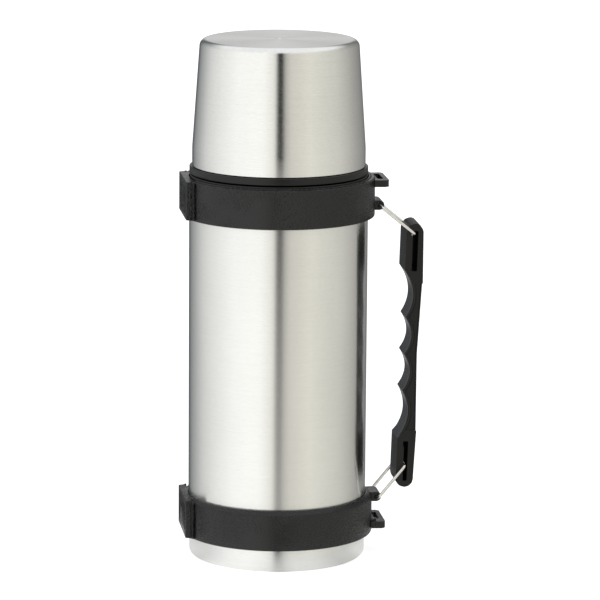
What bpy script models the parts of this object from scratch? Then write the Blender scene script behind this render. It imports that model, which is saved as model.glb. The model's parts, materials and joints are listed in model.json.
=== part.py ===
"""Steel vacuum flask with a screw-on cup, a push-button stopper and a fold-in side handle.

Millimetres in the named sizes, metres in the meshes. The flask stands on z = 0 with its axis on +Z,
and its handle is on +X.
"""
import bpy
import bmesh
from math import atan2, cos, degrees, pi, radians, sin

MM = 0.001

# Working fits
GAP = 0.3                   # between pieces that touch or seat on each other
PIN_PLAY = 0.15             # each side of a wire in a handle slot
FACETS = 40                 # around the large turned pieces
SMALL_FACETS = 24           # around the small turned pieces

# Outer steel body and base
body_r = 50.0
body_top_z = 216.3          # top edge of the upper band
steel_t = 0.6
shell_foot_z = 14.0         # lower end of the outer wall, behind the lower band
shoulder_drop = 7.5         # from the band's top edge down to where the wall turns in
shoulder_r = 6.0            # radius of that turn
shoulder_rise = 2.0         # climb of the shoulder towards the neck
neck_turn = 3.0             # where the shoulder turns up into the neck
base_inset = 0.5            # the base shell is this much smaller than the body
base_edge_r = 3.0
base_floor_t = 0.8
base_ring_inset = 12.0      # pressed stiffening ring under the base, in from the body's wall
base_ring_w = 4.0
base_ring_depth = 0.5
base_socket = 8.0           # overlap of the base shell inside the outer wall
jacket_floor_t = 0.8
jacket_skirt = 6.0
jacket_corner = 6.0
getter_r = 6.0
getter_t = 2.0
getter_offset = 20.0
getter_edge = 0.8

# Inner vessel and neck
vacuum_space = 4.5          # between the two steel walls
vessel_t = 0.5
vessel_floor_gap = 6.0      # above the jacket floor
vessel_floor_rise = 2.0     # dish of the vessel's floor
vessel_corner_r = 8.0
vessel_shoulder_h = 24.0
vessel_shoulder_turn = 50.0 # degrees that the wall turns in
neck_bore_r = 24.0
neck_space = 2.7            # between the two necks
neck_h = 39.7               # mouth above the upper band's top edge
neck_foot = 8.0             # neck below the upper band's top edge
lip_t = 2.0
foil_t = 0.3
foil_margin = 6.0

# Threads: both have the same lead, so the cup can ride on the stopper
thread_lead = 12.0
thread_starts = 3
thread_sweep = 110.0        # degrees of each ridge
thread_root_w = 2.0
thread_crest_w = 1.2
thread_bite = 0.35          # how far a ridge is let into its wall
thread_depth = 1.1
thread_play = 0.5           # radial, from crest to opposite root
neck_thread_h = 24.7        # threads start this far above the upper band's top edge
cup_thread_h = 7.3

# Neck collar that the cup screws on
collar_inset = 7.2          # collar's wall in from the body's
collar_top_drop = 4.0       # collar's top below the mouth
collar_seat_h = 19.7        # face that the cup's gasket meets, above the upper band's top edge
collar_seat_w = 4.8         # flat of that face
collar_rim_w = 2.5          # collar's top edge round the neck
collar_cone_h = 6.0
collar_edge = 0.8
collar_flange_inset = 0.3   # flange over the steel shoulder, in from the body's wall
collar_flange_drop = 0.6    # its top below the cup's ring
cup_gasket_lap = 2.3        # gasket's bore in from the collar's wall

# Stopper
gasket_t = 2.0
gasket_w = 3.7
gasket_play = 0.5           # round the plug
flange_lap = 2.2            # flange beyond the outer neck
flange_t = 2.8
head_inset = 4.0            # head in from the flange
head_h = 26.4
grip_flutes = 12
flute_r = 2.4
plug_wall = 2.0
plug_depth = 34.9           # plug below the flange
channel_r = 8.0
channel_wall = 2.0
pour_port_h = 3.8
pour_port_w = 8.0
guide_t = 2.0
guide_z_up = 8.4            # guide plate above the flange's underside
well_r = 14.0
stopper_base_t = 2.2
stopper_base_hole_r = 6.0
stopper_edge = 0.8
head_edge = 1.5
port_rise = 0.6             # ports above the flange
flute_rise = 3.0            # flutes above the ports
flute_out = 1.2             # flutes' centres outside the head
pocket_cover = 2.0
valve_seal_r = 10.0
valve_seal_t = 2.2
stem_r = 2.5
stem_foot_r = 5.0
stem_foot_t = 2.0
stem_edge = 0.5
button_proud = 1.6
button_plate_t = 2.6
button_skirt_h = 8.0
button_skirt_t = 1.7
button_boss_r = 4.6
button_boss_h = 7.0
spring_r = 8.0
spring_wire_r = 0.5
spring_turns = 5.0
spring_facets = 12          # points in each turn
button_play = 0.35
button_edge = 1.2

# Cup
ring_rise = 1.5             # ring above the upper band
ring_h = 3.9
ring_inset = 0.15           # ring smaller than the body
ring_inner_step = 1.65      # wall of the ring
cup_inset = 1.6             # steel cup smaller than the body
cup_h = 74.8                # ring's underside to the cup's top
cup_straight = 10.0
cup_taper = 3.8             # loss of radius to the shoulder of the cup
cup_edge_r = 5.6
liner_t = 1.6
cup_seat_w = 1.9            # ledge that holds the cup's gasket
cup_seat_t = 1.6
ring_edge = 0.6
ring_mouth_h = 1.6          # wide part of the ring's mouth
ring_mouth_rise = 0.8       # slope from there to the threads

# Bands
band_h = 22.4
band_t = 3.5
band_slope = 2.1            # sloping shoulder on the lower band's top edge
band_edge = 0.7
lower_band_z = 13.3
clasp_half_w = 20.0
clasp_face = 3.9            # flat face beyond the body's radius
clasp_lap = 3.4             # clasp over each end of the band
clasp_short = 0.5           # clasp shorter than the band at each end
clasp_corner = 1.5
tab_w = 28.5
tab_reach = 10.3            # strap tab beyond the body's radius
tab_t = 3.9
tab_corner = 2.0
tab_let_in = 0.4            # tab's root into the band, from its inner face
tab_slot_corner = 1.0
lower_tab_up = 4.05         # tab's middle above the lower band's underside
upper_tab_down = 3.65       # tab's middle below the upper band's top
strap_slot_l = 18.0
strap_slot_w = 3.3
strap_bar = 2.6
ear_w = 15.0
ear_t = 5.4
ear_bore_out = 6.0          # ear's bore beyond the body's radius
ear_bore_play = 0.55        # round the wire
bore_facets = 16
band_facets = 44
lower_ear_up = 18.9
upper_ear_down = 16.9

# Links and handle
wire_r = 0.85
bend_r = 1.3
bend_steps = 4
link_side_play = 0.35       # wire beside the handle
upper_link_l = 25.44
upper_link_down = 39.26     # degrees below level, from the ear
lower_link_l = 24.37
lower_link_up = 50.5        # degrees above level, from the ear
handle_w = 22.0
handle_end_gap_low = 2.7    # above the lower band
handle_end_gap_top = 3.9    # below the upper band
handle_back = 4.7           # outer face from the slots' line
handle_front = 4.9          # inner face of the end blocks from the slots' line
handle_corner_r = 4.6
handle_corner_steps = 5
handle_edge = 1.0
upper_block_l = 27.6
lower_block_l = 28.5
handle_flare = 0.9          # outer face at the blocks' inner ends, beyond handle_back
handle_waist = 0.3          # and in from it halfway
lower_flare_up = 3.0        # flare's lower crest, above the grip's lower end
upper_flare_down = 6.4      # flare's upper crest, below the grip's upper end
handle_top_drop = 5.6       # slope of the handle's outer top corner
finger_pitch = 21.0
finger_valley = 0.3         # outward of the slots' line
finger_peak = 3.4           # inward of the slots' line
valley_shift = 0.04         # of the distance between two unequal peaks
finger_steps = 5
slot_l = 22.5
upper_slot_in = 5.3         # slot's end from the handle's top
lower_slot_in = 3.5         # slot's end from the handle's bottom
upper_slot_drift = 1.10     # how far the upper wire wanders across its slot
upper_slot_bias = 0.31      # outward shift of the upper slot
lower_slot_drift = 0.31
lower_slot_bias = 0.13
fold_pivot_out = 9.87       # handle's turning point, out from the upper ear's bore
fold_pivot_down = 19.97     # and down from it

# Places worked out from the sizes above
upper_band_z = body_top_z - band_h
mouth_z = body_top_z + neck_h
upper_ear_z = body_top_z - upper_ear_down
lower_ear_z = lower_band_z + lower_ear_up
ear_bore_x = body_r + ear_bore_out
upper_pin = (ear_bore_x + upper_link_l * cos(radians(upper_link_down)),
             upper_ear_z - upper_link_l * sin(radians(upper_link_down)))
lower_pin = (ear_bore_x + lower_link_l * cos(radians(lower_link_up)),
             lower_ear_z + lower_link_l * sin(radians(lower_link_up)))
handle_lean = atan2(upper_pin[0] - lower_pin[0], upper_pin[1] - lower_pin[1])
fold_pivot = (ear_bore_x + fold_pivot_out, upper_ear_z - fold_pivot_down)
base_top_z = shell_foot_z + base_socket
jacket_z = base_top_z + GAP
vessel_z = jacket_z + vessel_floor_gap
vessel_r = body_r - steel_t - vacuum_space
vessel_shoulder_z = body_top_z - neck_foot - vessel_shoulder_h
outer_neck_r = neck_bore_r + vessel_t + neck_space + steel_t
shoulder_z = body_top_z - shoulder_drop
neck_low = shoulder_z + shoulder_r + shoulder_rise
flange_z = mouth_z + gasket_t + 2 * GAP
plug_r = neck_bore_r - thread_depth - thread_play
gasket_inner_r = plug_r + gasket_play
gasket_outer_r = gasket_inner_r + gasket_w
flange_r = outer_neck_r + flange_lap
head_r = flange_r - head_inset
neck_thread_z = body_top_z + neck_thread_h
plug_z = flange_z - plug_depth
stopper_bottom_z = plug_z - GAP - stopper_base_t
head_top_z = flange_z + head_h
guide_z = flange_z + guide_z_up
button_top_z = head_top_z + button_proud
ring_z = body_top_z + ring_rise
cup_z = ring_z + ring_h + GAP
cup_r = body_r - cup_inset
cup_top_z = ring_z + cup_h
collar_r = body_r - collar_inset
collar_seat_z = body_top_z + collar_seat_h
cup_thread_z = body_top_z + cup_thread_h
liner_thread_r = collar_r + thread_depth + thread_play
ear_bore_r = wire_r + ear_bore_play


def clear_scene():
    for item in list(bpy.data.objects):
        bpy.data.objects.remove(item, do_unlink=True)


def material(name, colour, roughness, metallic):
    found = bpy.data.materials.get(name) or bpy.data.materials.new(name)
    found.use_nodes = True
    found.diffuse_color = (*colour, 1.0)
    shader = found.node_tree.nodes["Principled BSDF"]
    shader.inputs["Base Color"].default_value = (*colour, 1.0)
    shader.inputs["Roughness"].default_value = roughness
    shader.inputs["Metallic"].default_value = metallic
    return found


def brushed_steel():
    return material("brushed_steel", (0.78, 0.78, 0.76), 0.32, 1.0)


def plain_steel():
    return material("plain_steel", (0.62, 0.62, 0.61), 0.4, 1.0)


def wire_steel():
    return material("wire_steel", (0.86, 0.85, 0.82), 0.18, 1.0)


def black_plastic():
    return material("black_plastic", (0.045, 0.046, 0.048), 0.55, 0.0)


def grey_plastic():
    return material("grey_plastic", (0.16, 0.16, 0.17), 0.5, 0.0)


def silicone():
    return material("silicone", (0.72, 0.72, 0.7), 0.6, 0.0)


def foam():
    return material("foam", (0.85, 0.83, 0.76), 0.9, 0.0)


def bright_foil():
    return material("bright_foil", (0.85, 0.55, 0.38), 0.25, 1.0)


def add_object(name, bm, finish, place=(0, 0, 0), turn_y=0.0, smooth=35.0):
    """Makes an object from a bmesh in millimetres; place is in millimetres too."""
    bmesh.ops.recalc_face_normals(bm, faces=bm.faces)
    bmesh.ops.scale(bm, vec=(MM, MM, MM), verts=bm.verts)
    mesh = bpy.data.meshes.new(name)
    bm.to_mesh(mesh)
    bm.free()
    mesh.materials.append(finish)
    mesh.shade_smooth()
    mesh.set_sharp_from_angle(angle=radians(smooth))
    made = bpy.data.objects.new(name, mesh)
    made.location = [value * MM for value in place]
    made.rotation_euler = (0, turn_y, 0)
    bpy.context.collection.objects.link(made)
    return made


def guide_only(made):
    made.hide_render = True
    made.display_type = "WIRE"
    return made


def boolean(made, other, operation):
    step = made.modifiers.new(operation.lower(), "BOOLEAN")
    step.operation = operation
    step.solver = "EXACT"
    step.object = guide_only(other)


def arc(centre, radius, start, end, steps):
    """Points of an arc in a plane, angles in degrees."""
    angles = [radians(start + (end - start) * i / steps) for i in range(steps + 1)]
    return [(centre[0] + radius * cos(a), centre[1] + radius * sin(a)) for a in angles]


def turned_mesh(profile, facets=FACETS, start=0.0, sweep=360.0):
    """Spins a closed (r, z) profile about Z. Points on the axis close the form there."""
    bm = bmesh.new()
    whole = sweep == 360.0
    ring = [bm.verts.new((r * cos(radians(start)), r * sin(radians(start)), z)) for r, z in profile]
    on_axis = profile[0][0] == 0 and profile[-1][0] == 0
    edges = [bm.edges.new(pair) for pair in zip(ring, ring[1:])]
    if not on_axis:
        edges.append(bm.edges.new((ring[-1], ring[0])))
    if not whole:
        cap = bm.faces.new(ring)
        bmesh.ops.spin(bm, geom=[cap], cent=(0, 0, 0), axis=(0, 0, 1),
                       angle=radians(sweep), steps=facets)
    else:
        bmesh.ops.spin(bm, geom=ring + edges, cent=(0, 0, 0), axis=(0, 0, 1),
                       angle=2 * pi, steps=facets, use_merge=True)
        bmesh.ops.remove_doubles(bm, verts=bm.verts, dist=0.0001)
    return bm


def turned(name, profile, finish, facets=FACETS):
    return add_object(name, turned_mesh(profile, facets), finish)


def prism_mesh(outline, low, high, across="Z"):
    """Extrudes an outline of (x, y), or of (x, z) where it is extruded along Y."""
    def point(a, b, level):
        return (a, b, level) if across == "Z" else (a, level, b)
    bm = bmesh.new()
    base = [bm.verts.new(point(a, b, low)) for a, b in outline]
    top = [bm.verts.new(point(a, b, high)) for a, b in outline]
    bm.faces.new(base)
    bm.faces.new(top)
    for i in range(len(outline)):
        j = (i + 1) % len(outline)
        bm.faces.new((base[i], base[j], top[j], top[i]))
    return bm


def box_outline(x0, x1, y0, y1, corner=0.0, steps=3):
    if corner == 0:
        return [(x0, y0), (x1, y0), (x1, y1), (x0, y1)]
    points = []
    for cx, cy, start in ((x1 - corner, y1 - corner, 0), (x0 + corner, y1 - corner, 90),
                          (x0 + corner, y0 + corner, 180), (x1 - corner, y0 + corner, 270)):
        points += arc((cx, cy), corner, start, start + 90, steps)
    return points


def thread_ridges(name, root_r, depth, start_z, finish):
    """Ridges of a many-start thread; depth is negative for ridges that point inwards."""
    steps = round(thread_sweep / (360 / FACETS))
    let_in = thread_bite if depth > 0 else -thread_bite
    section = [(root_r - let_in, -thread_root_w / 2), (root_r + depth, -thread_crest_w / 2),
               (root_r + depth, thread_crest_w / 2), (root_r - let_in, thread_root_w / 2)]
    bm = bmesh.new()
    for start in range(thread_starts):
        rings = []
        for i in range(steps + 1):
            turn = i / FACETS
            angle = 2 * pi * (turn + start / thread_starts)
            z = start_z + thread_lead * turn
            rings.append([bm.verts.new((r * cos(angle), r * sin(angle), z + up)) for r, up in section])
        bm.faces.new(rings[0])
        bm.faces.new(rings[-1])
        for here, there in zip(rings, rings[1:]):
            for i in range(4):
                j = (i + 1) % 4
                bm.faces.new((here[i], here[j], there[j], there[i]))
    return add_object(name, bm, finish)


def outer_shell():
    """Outer steel wall, with its shoulder and the outer neck in one drawn piece."""
    turn_r = body_r - shoulder_r
    top = mouth_z - lip_t - GAP
    outside = [(body_r, shell_foot_z)]
    outside += arc((turn_r, shoulder_z), shoulder_r, 0, 90, 4)
    outside += [(outer_neck_r + neck_turn, neck_low), (outer_neck_r, neck_low + neck_turn),
                (outer_neck_r, top)]
    bore = outer_neck_r - steel_t
    inside = [(bore, top), (bore, neck_low + neck_turn - steel_t / 2),
              (bore + neck_turn + steel_t / 2, neck_low - steel_t)]
    inside += arc((turn_r, shoulder_z), shoulder_r - steel_t, 90, 0, 4)
    inside += [(body_r - steel_t, shell_foot_z)]
    return turned("outer_shell", outside + inside, brushed_steel())


def base_shell():
    """Bottom cap: a flat floor with one pressed ring, and a wall let into the outer wall."""
    wall_r = body_r - base_inset
    socket_r = body_r - steel_t - GAP
    ring_in = body_r - base_ring_inset - base_ring_w / 2
    ring_out = ring_in + base_ring_w
    lift = base_ring_depth
    under = [(0, 0), (ring_in - lift, 0), (ring_in, lift), (ring_out, lift), (ring_out + lift, 0)]
    under += arc((wall_r - base_edge_r, base_edge_r), base_edge_r, -90, 0, 4)
    under += [(wall_r, shell_foot_z - GAP), (socket_r, shell_foot_z - GAP), (socket_r, base_top_z)]
    upper = [(socket_r - steel_t, base_top_z), (socket_r - steel_t, base_edge_r + base_floor_t),
             (socket_r - steel_t - base_edge_r, base_floor_t + lift), (0, base_floor_t + lift)]
    return turned("base_shell", under + upper, brushed_steel())


def jacket_floor():
    """Welded floor of the vacuum jacket, hidden by the base shell."""
    rim_r = body_r - steel_t - GAP
    flat_r = rim_r - jacket_corner
    profile = [(0, jacket_z), (flat_r, jacket_z), (rim_r, jacket_z), (rim_r, jacket_z + jacket_skirt),
               (rim_r - steel_t, jacket_z + jacket_skirt), (rim_r - steel_t, jacket_z + 2),
               (flat_r, jacket_z + jacket_floor_t), (0, jacket_z + jacket_floor_t)]
    return turned("jacket_floor", profile, plain_steel())


def getter():
    """Pellet holder that keeps the vacuum, on the jacket floor."""
    low = jacket_z + jacket_floor_t + GAP
    profile = [(0, low), (getter_r, low), (getter_r, low + getter_t - getter_edge),
               (getter_r - getter_edge, low + getter_t), (0, low + getter_t)]
    made = turned("getter", profile, plain_steel(), SMALL_FACETS)
    made.location.x = getter_offset * MM
    return made


def vessel_side(inset):
    """One face of the inner vessel's wall, from the middle of its floor to under its lip."""
    wall_r = vessel_r - inset
    corner = vessel_corner_r - inset
    floor_z = vessel_z + inset
    foot = body_top_z - neck_foot
    bore_r = neck_bore_r + vessel_t - inset
    points = [(0, floor_z + vessel_floor_rise), (wall_r * 0.5, floor_z + vessel_floor_rise)]
    points += arc((wall_r - corner, floor_z + corner), corner, -90, 0, 3)
    bend = vessel_corner_r + inset
    points += arc((wall_r - corner, vessel_shoulder_z - inset), corner, 0, vessel_shoulder_turn, 2)
    points += arc((bore_r + bend, foot), bend, 180 + vessel_shoulder_turn, 180, 3)
    return points


def inner_vessel():
    """Inner steel bottle with a rolled lip that covers both necks, and a thread in its neck."""
    outside = vessel_side(0)
    inside = vessel_side(vessel_t)
    lip_r = outer_neck_r - steel_t / 2
    neck_r = neck_bore_r + vessel_t
    lip = [(neck_r, mouth_z - lip_t), (lip_r, mouth_z - lip_t), (lip_r + 0.4, mouth_z - lip_t / 2),
           (lip_r, mouth_z), (neck_bore_r + 0.6, mouth_z), (neck_bore_r, mouth_z - 0.6)]
    made = turned("inner_vessel", outside + lip + inside[::-1], plain_steel())
    pitch = thread_lead / thread_starts
    ridges = thread_ridges("neck_thread_form", neck_bore_r, -thread_depth, neck_thread_z + pitch / 2,
                           plain_steel())
    boolean(made, ridges, "UNION")
    return made


def radiation_foil():
    """Bright foil wrapped round the inner vessel inside the vacuum."""
    inner = vessel_r + GAP
    low = vessel_z + vessel_corner_r + foil_margin
    high = vessel_shoulder_z - foil_margin
    profile = [(inner, low), (inner + foil_t, low), (inner + foil_t, high), (inner, high)]
    return turned("radiation_foil", profile, bright_foil())


def neck_collar():
    """Plastic collar over the shoulder and neck; the cup screws on its outside."""
    inner_r = outer_neck_r + GAP
    top_z = mouth_z - collar_top_drop
    flange_top = ring_z - collar_flange_drop
    flange_rim = body_r - collar_flange_inset
    profile = [(flange_rim, flange_top - collar_edge), (flange_rim - collar_edge, flange_top),
               (collar_r, flange_top), (collar_r, collar_seat_z - collar_edge),
               (collar_r - collar_edge, collar_seat_z), (collar_r - collar_seat_w, collar_seat_z),
               (inner_r + collar_rim_w + 1, top_z - collar_cone_h), (inner_r + collar_rim_w, top_z),
               (inner_r, top_z), (inner_r, neck_low + neck_turn + GAP),
               (outer_neck_r + neck_turn, neck_low + 2 * GAP)]
    profile += arc((body_r - shoulder_r, shoulder_z), shoulder_r + 2 * GAP, 90, 30, 4)
    made = turned("neck_collar", profile, black_plastic())
    ridges = thread_ridges("collar_thread_form", collar_r, thread_depth, cup_thread_z, black_plastic())
    boolean(made, ridges, "UNION")
    return made


def stopper_body():
    """Plug, flange and head in one moulding, with a channel, a foam pocket and a button well."""
    pocket_in = channel_r + channel_wall
    pocket_out = plug_r - plug_wall
    pocket_top = flange_z - pocket_cover
    flange_top = flange_z + flange_t
    profile = [(channel_r, plug_z), (pocket_in, plug_z), (pocket_in, pocket_top), (pocket_out, pocket_top),
               (pocket_out, plug_z), (plug_r, plug_z), (plug_r, flange_z), (flange_r, flange_z),
               (flange_r, flange_top - stopper_edge), (flange_r - stopper_edge, flange_top),
               (head_r, flange_top), (head_r, head_top_z - head_edge), (head_r - head_edge, head_top_z),
               (well_r, head_top_z), (well_r, guide_z + guide_t), (stem_r + button_play, guide_z + guide_t),
               (stem_r + button_play, guide_z), (channel_r, guide_z)]
    made = turned("stopper_body", profile, black_plastic())
    ridges = thread_ridges("stopper_thread_form", plug_r, thread_depth, neck_thread_z, black_plastic())
    boolean(made, ridges, "UNION")
    port_low = flange_top + port_rise
    port = prism_mesh(box_outline(-flange_r, flange_r, -pour_port_w / 2, pour_port_w / 2),
                      port_low, port_low + pour_port_h)
    boolean(made, add_object("pour_port_cut", port, black_plastic()), "DIFFERENCE")
    for i in range(grip_flutes):
        boolean(made, flute_cutter(i, port_low + pour_port_h + flute_rise), "DIFFERENCE")
    return made


def flute_cutter(index, low):
    """One round flute up the stopper's head, clear of the pour ports."""
    angle = 2 * pi * (index + 0.5) / grip_flutes
    centre = ((head_r + flute_out) * cos(angle), (head_r + flute_out) * sin(angle))
    mesh = prism_mesh(arc(centre, flute_r, 0, 315, 7), low, head_top_z + head_edge)
    return add_object(f"flute_cut_{index}", mesh, black_plastic())


def stopper_foam():
    """Foam ring that insulates the plug."""
    inner = channel_r + channel_wall + GAP
    outer = plug_r - plug_wall - GAP
    low = plug_z + GAP
    high = flange_z - pocket_cover - GAP
    profile = [(inner, low), (outer, low), (outer, high), (inner, high)]
    return turned("stopper_foam", profile, foam(), SMALL_FACETS)


def stopper_base():
    """Disc that closes the plug and is the valve's seat."""
    top = plug_z - GAP
    low = top - stopper_base_t
    profile = [(stopper_base_hole_r, low), (plug_r - stopper_edge, low), (plug_r, low + stopper_edge),
               (plug_r, top), (stopper_base_hole_r, top)]
    return turned("stopper_base", profile, black_plastic())


def stopper_gasket():
    low = mouth_z + GAP
    profile = [(gasket_inner_r, low), (gasket_outer_r, low), (gasket_outer_r, low + gasket_t),
               (gasket_inner_r, low + gasket_t)]
    return turned("stopper_gasket", profile, silicone())


def push_button():
    """Button cap with a skirt that runs in the well and a boss that holds the stem."""
    outer = well_r - button_play
    bore = stem_r + GAP
    under = button_top_z - button_plate_t
    skirt_low = under - button_skirt_h
    boss_low = under - button_boss_h
    profile = [(0, button_top_z), (outer - button_edge, button_top_z), (outer, button_top_z - button_edge),
               (outer, skirt_low), (outer - button_skirt_t, skirt_low), (outer - button_skirt_t, under),
               (button_boss_r, under), (button_boss_r, boss_low), (bore, boss_low), (bore, under - GAP),
               (0, under - GAP)]
    return turned("push_button", profile, grey_plastic(), SMALL_FACETS)


def valve_stem():
    """Rod from the button down to a foot under the valve seal."""
    foot_top = stopper_bottom_z - GAP - valve_seal_t - GAP
    foot_low = foot_top - stem_foot_t
    top = button_top_z - button_plate_t - 2 * GAP
    profile = [(0, foot_low), (stem_foot_r - stem_edge, foot_low), (stem_foot_r, foot_low + stem_edge),
               (stem_foot_r, foot_top), (stem_r, foot_top), (stem_r, top), (0, top)]
    return turned("valve_stem", profile, grey_plastic(), SMALL_FACETS)


def valve_seal():
    """Silicone disc that the stem pulls up against the stopper's base."""
    top = stopper_bottom_z - GAP
    low = top - valve_seal_t
    profile = [(stem_r + GAP, low), (valve_seal_r - stem_edge, low), (valve_seal_r, low + stem_edge),
               (valve_seal_r, top), (stem_r + GAP, top)]
    return turned("valve_seal", profile, silicone(), SMALL_FACETS)


def button_spring():
    """Compression spring round the button's boss, between the guide plate and the button."""
    low = guide_z + guide_t + GAP + spring_wire_r
    high = button_top_z - button_plate_t - GAP - spring_wire_r
    steps = round(spring_turns * spring_facets)
    curve = bpy.data.curves.new("button_spring", "CURVE")
    curve.dimensions = "3D"
    curve.bevel_depth = spring_wire_r * MM
    curve.bevel_resolution = 0
    curve.use_fill_caps = True
    line = curve.splines.new("POLY")
    line.points.add(steps)
    for i, point in enumerate(line.points):
        angle = 2 * pi * spring_turns * i / steps
        z = low + (high - low) * i / steps
        point.co = (spring_r * cos(angle) * MM, spring_r * sin(angle) * MM, z * MM, 1)
    curve.materials.append(wire_steel())
    made = bpy.data.objects.new("button_spring", curve)
    bpy.context.collection.objects.link(made)
    return made


def cup_radius(z):
    """Outside radius of the steel cup: straight, then tapering to its shoulder."""
    straight_z = cup_z + cup_straight
    shoulder = cup_top_z - cup_edge_r
    share = min(max((z - straight_z) / (shoulder - straight_z), 0), 1)
    return cup_r - cup_taper * share


def cup_side(inset, low, edge_steps):
    shoulder = cup_top_z - cup_edge_r
    levels = [low, cup_z + cup_straight, (cup_z + cup_straight + shoulder) / 2]
    points = [(cup_radius(z) - inset, z) for z in levels]
    edge = cup_edge_r - inset
    points += arc((cup_radius(shoulder) - cup_edge_r, shoulder), edge, 0, 90, edge_steps)
    return points + [(0, cup_top_z - inset)]


def cup_shell():
    """Steel skin of the cup."""
    outside = cup_side(0, cup_z, 4)
    inside = cup_side(steel_t, cup_z, 4)
    return turned("cup_shell", outside[::-1] + inside, brushed_steel())


def cup_liner():
    """Plastic liner with the rim ring, an inside thread and a seat for the cup's gasket."""
    skin = steel_t + GAP
    ring_r = body_r - ring_inset
    ring_top = ring_z + ring_h
    mouth_r = ring_r - ring_inner_step
    seat_low = collar_seat_z + 3 * GAP + gasket_t
    seat_top = seat_low + cup_seat_t
    seat_r = liner_thread_r - cup_seat_w
    outside = cup_side(skin, cup_z, 3)[::-1]
    outside += [(cup_radius(cup_z) - skin, ring_top), (ring_r - ring_edge, ring_top),
                (ring_r, ring_top - ring_edge), (ring_r, ring_z + ring_edge), (ring_r - ring_edge, ring_z)]
    inside = [(mouth_r, ring_z), (mouth_r, ring_z + ring_mouth_h),
              (liner_thread_r, ring_z + ring_mouth_h + ring_mouth_rise), (liner_thread_r, seat_low),
              (seat_r, seat_low), (seat_r, seat_top),
              (cup_radius(seat_top) - skin - liner_t, seat_top + liner_t)]
    inside += cup_side(skin + liner_t, seat_top + 2 * liner_t, 3)[1:]
    made = turned("cup_liner", outside + inside, black_plastic())
    pitch = thread_lead / thread_starts
    ridges = thread_ridges("liner_thread_form", liner_thread_r, -thread_depth, cup_thread_z + pitch / 2,
                           black_plastic())
    boolean(made, ridges, "UNION")
    return made


def cup_gasket():
    """Silicone ring in the liner that seals on the collar."""
    low = collar_seat_z + GAP
    outer = liner_thread_r - GAP
    inner = collar_r - cup_gasket_lap
    profile = [(inner, low), (outer, low), (outer, low + gasket_t), (inner, low + gasket_t)]
    return turned("cup_gasket", profile, silicone())


def band(name, low_z, tab_z, ear_z, slope):
    """Split band with a slotted strap tab and an ear for the handle's link, both on +X."""
    inner = body_r + GAP
    outer = inner + band_t
    slope_z = band_h - slope
    profile = [(inner, 0), (outer - band_edge, 0), (outer, band_edge), (outer, slope_z - band_edge),
               (outer - band_edge, slope_z)]
    if slope > 0:
        profile.append((inner + band_edge, band_h))
    profile.append((inner, band_h))
    half_gap = degrees(clasp_inner_angle())
    profile = [(r, z + low_z) for r, z in profile]
    mesh = turned_mesh(profile, band_facets, 180 + half_gap, 360 - 2 * half_gap)
    made = add_object(name, mesh, black_plastic())
    root_x = body_r + GAP + band_t / 2
    tab = prism_mesh(tab_outline(inner + tab_let_in), tab_z - tab_t / 2, tab_z + tab_t / 2)
    boolean(made, add_object(name + "_tab_form", tab, black_plastic()), "UNION")
    ear = prism_mesh(ear_outline(root_x, ear_z), -ear_w / 2, ear_w / 2, "Y")
    boolean(made, add_object(name + "_ear_form", ear, black_plastic()), "UNION")
    slot_out = body_r + tab_reach - strap_bar
    slot_outline = box_outline(slot_out - strap_slot_w, slot_out, -strap_slot_l / 2, strap_slot_l / 2,
                               tab_slot_corner)
    slot = prism_mesh(slot_outline, tab_z - tab_t, tab_z + tab_t)
    boolean(made, add_object(name + "_slot_cut", slot, black_plastic()), "DIFFERENCE")
    bore = prism_mesh(arc((ear_bore_x, ear_z), ear_bore_r, 0, 360 - 360 / bore_facets, bore_facets - 1),
                      -ear_w, ear_w, "Y")
    boolean(made, add_object(name + "_bore_cut", bore, black_plastic()), "DIFFERENCE")
    return made


def tab_outline(root_x):
    """Strap tab from above: square where it leaves the band, round at its outer corners."""
    reach = body_r + tab_reach
    side = tab_w / 2
    outline = [(root_x, side), (root_x, -side)]
    outline += arc((reach - tab_corner, tab_corner - side), tab_corner, -90, 0, 3)
    outline += arc((reach - tab_corner, side - tab_corner), tab_corner, 0, 90, 3)
    return outline


def ear_outline(root_x, ear_z):
    """Ear from the side: flat above and below, round about its bore."""
    tip_r = ear_t / 2
    return [(root_x, ear_z + tip_r), (root_x, ear_z - tip_r)] + arc((ear_bore_x, ear_z), tip_r, -90, 90, 6)


def clasp_inner_angle():
    """Half the gap that a clasp fills between the ends of its band."""
    return (clasp_half_w - clasp_lap) / (body_r + GAP)


def clasp(name, low_z):
    """Flat-faced block on -X that joins the ends of a band."""
    inner = body_r + GAP
    lap_r = inner + band_t + GAP
    end_angle = degrees(clasp_inner_angle()) - degrees(GAP / inner)
    face_x = -(body_r + clasp_face)
    lap_angle = degrees(atan2(clasp_half_w, (lap_r ** 2 - clasp_half_w ** 2) ** 0.5))
    outline = [(face_x, -clasp_half_w + clasp_corner), (face_x, clasp_half_w - clasp_corner),
               (face_x + clasp_corner, clasp_half_w)]
    outline += arc((0, 0), lap_r, 180 - lap_angle, 180 - end_angle, 2)
    outline += arc((0, 0), inner, 180 - end_angle, 180 + end_angle, 10)
    outline += arc((0, 0), lap_r, 180 + end_angle, 180 + lap_angle, 2)
    outline += [(face_x + clasp_corner, -clasp_half_w)]
    mesh = prism_mesh(outline, low_z + clasp_short, low_z + band_h - clasp_short)
    return add_object(name, mesh, black_plastic())


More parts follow.
